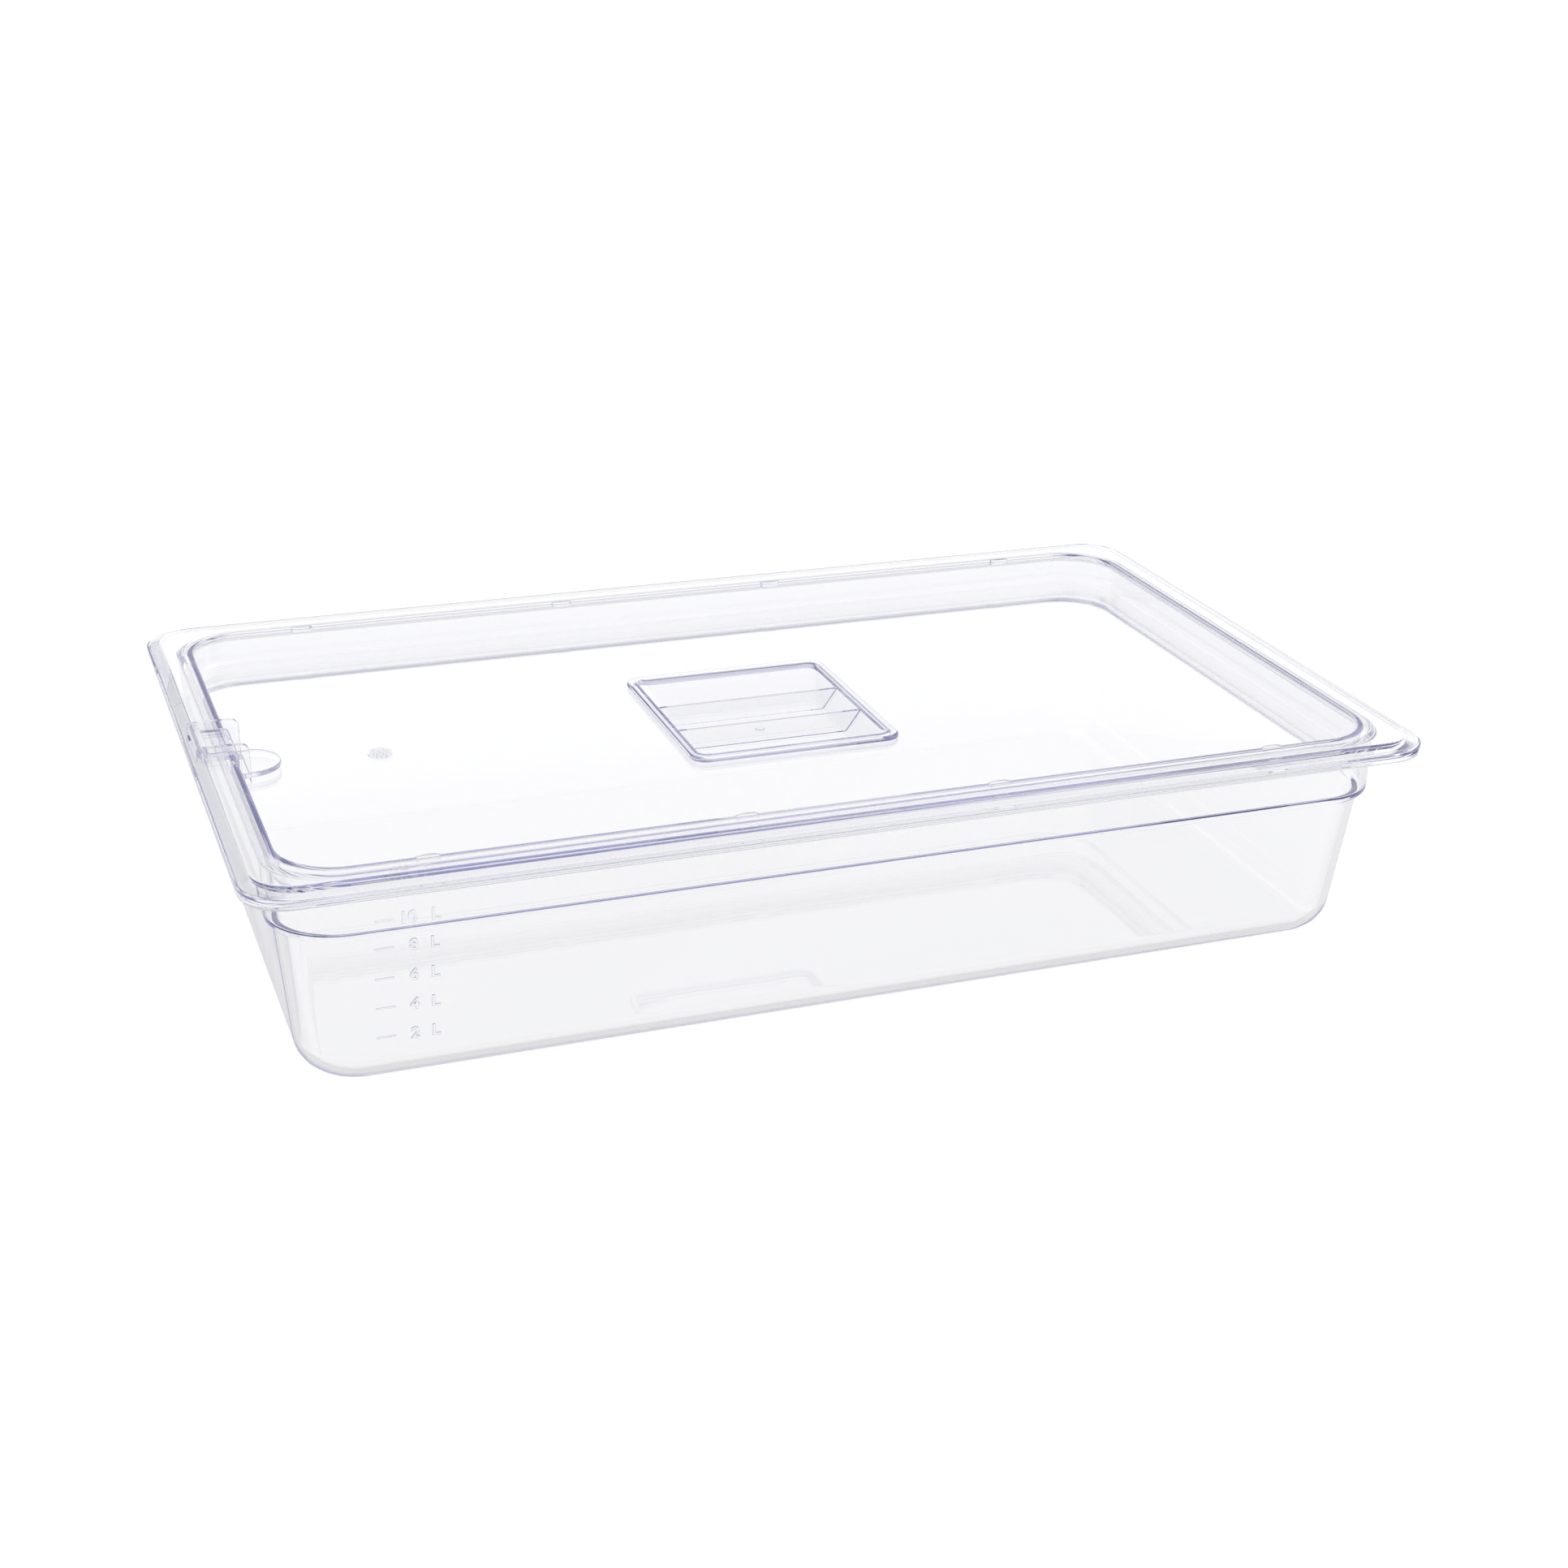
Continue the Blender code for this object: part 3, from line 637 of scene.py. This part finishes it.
DIAL_RING_WIDTH = 0.7
DIAL_HUB = (1.8, 1.2)     # outer and inner radius
DIAL_TICKS = 12
DIAL_TICK_SIZE = (1.8, 0.5)
DIAL_TICK_RADIUS = 3.4
RING_SIDES = 48
GATE_RADIUS = 2.4
GATE_SIDES = 32
GATE_HEIGHT = 0.5
GATE_RISE = 0.1
GATE_ROUNDING = 0.2


def front_face_y(height):
    """Outer face of the pan's front wall at a height."""
    if height < SHOULDER_HEIGHT:
        foot = BAND_INSET + BAND_DRAFT + SHOULDER_STEP
        inset = BASE_INSET + (foot - BASE_INSET) * height / SHOULDER_HEIGHT
    else:
        run = (height - SHOULDER_HEIGHT) / (PAN_HEIGHT - FLANGE_THICKNESS - SHOULDER_HEIGHT)
        inset = BAND_INSET + BAND_DRAFT * (1 - run)
    return inset - WIDTH / 2


def raised_text(text, x, height):
    """Solid lettering that stands a little proud of the front wall."""
    curve = bpy.data.curves.new("letters", "FONT")
    curve.body = text
    curve.size = LETTER_SIZE
    curve.align_y = "CENTER"
    curve.offset = LETTER_WEIGHT
    curve.extrude = (MARK_PROUD + MARK_SUNK) / 2
    curve.bevel_depth = LETTER_BEVEL
    curve.bevel_resolution = 1
    curve.resolution_u = 4
    text_object = bpy.data.objects.new("letters", curve)
    bpy.context.collection.objects.link(text_object)
    depsgraph = bpy.context.evaluated_depsgraph_get()
    bm = bmesh.new()
    bm.from_mesh(bpy.data.meshes.new_from_object(text_object.evaluated_get(depsgraph)))
    bpy.data.objects.remove(text_object, do_unlink=True)
    bmesh.ops.remove_doubles(bm, verts=bm.verts, dist=0.01)
    rise = 2 * LETTER_REACH
    run = front_face_y(height - LETTER_REACH) - front_face_y(height + LETTER_REACH)
    lean = math.atan2(run, rise)
    turn = Matrix.Rotation(math.radians(90) + lean, 3, "X")
    bmesh.ops.rotate(bm, verts=bm.verts, cent=(0, 0, 0), matrix=turn)
    place = Vector((x, front_face_y(height) - (MARK_PROUD - MARK_SUNK) / 2, height))
    bmesh.ops.translate(bm, verts=bm.verts, vec=place)
    return bm


def bar(height):
    """Raised graduation line."""
    low = height - BAR_THICKNESS / 2
    high = height + BAR_THICKNESS / 2
    section = [
        (front_face_y(low) - MARK_PROUD, low),
        (front_face_y(low) + MARK_SUNK, low),
        (front_face_y(high) + MARK_SUNK, high),
        (front_face_y(high) - MARK_PROUD, high),
    ]
    outline = [Vector((BAR_START_X, y, z)) for y, z in section]
    return ease_edges(extrude(outline, Vector((BAR_LENGTH, 0, 0))), BAR_ROUNDING, segments=2)


def joined(name, pieces):
    """One object of several bmeshes."""
    whole = bmesh.new()
    for bm in pieces:
        mesh = bpy.data.meshes.new("piece")
        bm.to_mesh(mesh)
        bm.free()
        whole.from_mesh(mesh)
        bpy.data.meshes.remove(mesh)
    return finish_surface(new_object(name, whole), sharp_angle=40)


def make_graduations():
    """Litre lines and their figures, moulded on the front wall."""
    pieces = []
    for litres, height in BAR_HEIGHTS:
        pieces.append(bar(height))
        shift = SECOND_DIGIT_SHIFT if litres > 9 else 0.0
        pieces.append(raised_text(str(litres), DIGIT_X - shift, height))
        pieces.append(raised_text("L", UNIT_X, height))
    return joined("graduations", pieces)


def ring(outer, inner, low, high, centre):
    """Flat ring with a rectangular section."""
    bm = bmesh.new()
    section = ((outer, low), (outer, high), (inner, high), (inner, low))
    rings = []
    for radius, height in section:
        loop = arc(*centre, radius, 0, 360 - 360 / RING_SIDES, RING_SIDES - 1)
        rings.append([bm.verts.new((x, y, height)) for x, y in loop])
    for lower, upper in zip(rings, rings[1:] + rings[:1]):
        for i, corner in enumerate(lower):
            j = (i + 1) % RING_SIDES
            bm.faces.new((corner, lower[j], upper[j], upper[i]))
    return bm


def make_dial():
    """Plain mould date dial: a ring, a hub and radial ticks, on the panel."""
    low = PANEL_TOP - MARK_SUNK
    high = PANEL_TOP + DIAL_PROUD
    pieces = [
        ring(DIAL_RADIUS, DIAL_RADIUS - DIAL_RING_WIDTH, low, high, DIAL_CENTRE),
        ring(*DIAL_HUB, low, high, DIAL_CENTRE),
    ]
    for step in range(DIAL_TICKS):
        bm = bmesh.new()
        bmesh.ops.create_cube(bm, size=1.0)
        bmesh.ops.scale(bm, verts=bm.verts, vec=(*DIAL_TICK_SIZE, high - low))
        bmesh.ops.translate(bm, verts=bm.verts, vec=(DIAL_TICK_RADIUS, 0, (high + low) / 2))
        turn = Matrix.Rotation(math.radians(360 * step / DIAL_TICKS), 3, "Z")
        bmesh.ops.rotate(bm, verts=bm.verts, cent=(0, 0, 0), matrix=turn)
        bmesh.ops.translate(bm, verts=bm.verts, vec=(*DIAL_CENTRE, 0))
        pieces.append(bm)
    return joined("mould_dial", pieces)


def make_gate():
    """Stub where the handle's mould was fed, at the centre of the pocket's floor."""
    floor_top = HANDLE_LOW.z + POCKET_WALL
    bm = column(GATE_RADIUS, GATE_HEIGHT, GATE_SIDES, (0, 0, floor_top + GATE_RISE))
    return finish_surface(new_object("handle_gate", ease_edges(bm, GATE_ROUNDING, segments=2)))


# ----------------------------------------------------------------------- stage
FLOOR_SIZE = 20.0         # half length, in metres
FLOOR_DROP = 0.0005       # below the pan's base, in metres
FLOOR_COLOUR = (0.3, 0.3, 0.3, 1.0)
FLOOR_GLOW = 0.91
FLOOR_GLOW_MIRRORED = 0.68  # in reflections, which stand for a darker room in front
SKY_BRIGHT = (1.1, 1.1, 1.1)
SKY_SHADES = (            # (axis of the direction, from, to, colour there)
    ("Z", 0.75, 0.95, (0.7, 0.7, 0.78)),
    ("X", 0.0, -0.2, (0.6, 0.6, 0.66)),
    ("Y", 0.1, -0.3, (0.45, 0.45, 0.51)),
)
LIGHT_BOUNCES = 400       # light runs along inside the clear walls before it leaves them
MIX_FACTOR, MIX_A, MIX_B = 0, 6, 7  # a colour Mix node's sockets, which share their names
MIX_RESULT = 2


def make_stage():
    """Plain pale floor and a soft, even studio."""
    bm = bmesh.new()
    bmesh.ops.create_grid(bm, x_segments=1, y_segments=1, size=FLOOR_SIZE)
    mesh = bpy.data.meshes.new("floor")
    bm.to_mesh(mesh)
    bm.free()
    floor = bpy.data.objects.new("floor", mesh)
    floor.location.z = -FLOOR_DROP
    bpy.context.collection.objects.link(floor)
    pale = bpy.data.materials.new("pale_floor")
    pale.use_nodes = True
    shader = pale.node_tree.nodes["Principled BSDF"]
    shader.inputs["Roughness"].default_value = 0.9
    shader.inputs["Specular IOR Level"].default_value = 0.0
    shader.inputs["Base Color"].default_value = FLOOR_COLOUR
    shader.inputs["Emission Color"].default_value = (1, 1, 1, 1)
    path = pale.node_tree.nodes.new("ShaderNodeLightPath")
    glow = pale.node_tree.nodes.new("ShaderNodeMapRange")
    glow.inputs["To Min"].default_value = FLOOR_GLOW
    glow.inputs["To Max"].default_value = FLOOR_GLOW_MIRRORED
    pale.node_tree.links.new(path.outputs["Glossy Depth"], glow.inputs["Value"])
    pale.node_tree.links.new(glow.outputs["Result"], shader.inputs["Emission Strength"])
    mesh.materials.append(pale)
    world = bpy.data.worlds.new("studio")
    bpy.context.scene.world = world
    world.use_nodes = True
    nodes, links = world.node_tree.nodes, world.node_tree.links
    background = nodes["Background"]
    background.inputs["Strength"].default_value = 1.0
    direction = nodes.new("ShaderNodeTexCoord")
    split = nodes.new("ShaderNodeSeparateXYZ")
    links.new(direction.outputs["Generated"], split.inputs["Vector"])
    colour = None
    for axis, start, end, dark in SKY_SHADES:
        ramp = nodes.new("ShaderNodeMapRange")
        ramp.interpolation_type = "SMOOTHSTEP"
        ramp.inputs["From Min"].default_value = start
        ramp.inputs["From Max"].default_value = end
        links.new(split.outputs[axis], ramp.inputs["Value"])
        shade = nodes.new("ShaderNodeMix")
        shade.data_type = "RGBA"
        shade.inputs[MIX_A].default_value = (*SKY_BRIGHT, 1)
        shade.inputs[MIX_B].default_value = (*dark, 1)
        if colour:
            links.new(colour, shade.inputs[MIX_A])
        links.new(ramp.outputs["Result"], shade.inputs[MIX_FACTOR])
        colour = shade.outputs[MIX_RESULT]
    links.new(colour, background.inputs["Color"])
    bpy.context.scene.view_settings.view_transform = "Standard"
    paths = bpy.context.scene.cycles
    paths.max_bounces = LIGHT_BOUNCES
    paths.glossy_bounces = LIGHT_BOUNCES
    paths.transmission_bounces = LIGHT_BOUNCES


# ---------------------------------------------------------------------- camera
AZIMUTH = -20.70          # degrees, 0 looks along +Y
ELEVATION = 22.85
ROLL = 1.19
DISTANCE = 1132.5         # from the middle of the lid's top, along the view
OFFSET_RIGHT = 12.3
OFFSET_UP = -47.4
FOCAL_LENGTH = 55.33      # on a 36 mm sensor


def make_camera():
    azimuth, elevation, roll = (math.radians(a) for a in (AZIMUTH, ELEVATION, ROLL))
    back = Vector((
        math.sin(azimuth) * math.cos(elevation),
        -math.cos(azimuth) * math.cos(elevation),
        math.sin(elevation),
    ))
    right = Vector((math.cos(azimuth), math.sin(azimuth), 0))
    up = back.cross(right)
    place = Vector((0, 0, LID_TOP)) + back * DISTANCE + right * OFFSET_RIGHT + up * OFFSET_UP
    turned_right = right * math.cos(roll) + up * math.sin(roll)
    turned_up = up * math.cos(roll) - right * math.sin(roll)
    camera = bpy.data.objects.new("camera", bpy.data.cameras.new("camera"))
    camera.data.lens = FOCAL_LENGTH
    camera.data.sensor_width = 36.0
    camera.data.clip_start = 0.05
    camera.data.clip_end = 50.0
    turn = Matrix((turned_right, turned_up, back)).transposed()
    camera.matrix_world = Matrix.Translation(place * MM) @ turn.to_4x4()
    bpy.context.collection.objects.link(camera)
    bpy.context.scene.camera = camera


# ------------------------------------------------------------------ the object
clear = polycarbonate("clear_pc", *CLEAR_TINT)
violet = polycarbonate("violet_pc", *VIOLET_TINT)
dress(make_pan(), clear, "pan", "pan")
dress(make_lid(), clear, "lid", "lid")
dress(make_handle(), violet, "lid", "lid_handle")
dress(make_flap(), violet, "notch_flap", "notch_flap")
dress(make_pin(), violet, "lid", "hinge_pin")
mark(make_graduations(), clear, "pan")
mark(make_dial(), clear, "lid")
mark(make_gate(), violet, "lid")
make_stage()
make_camera()
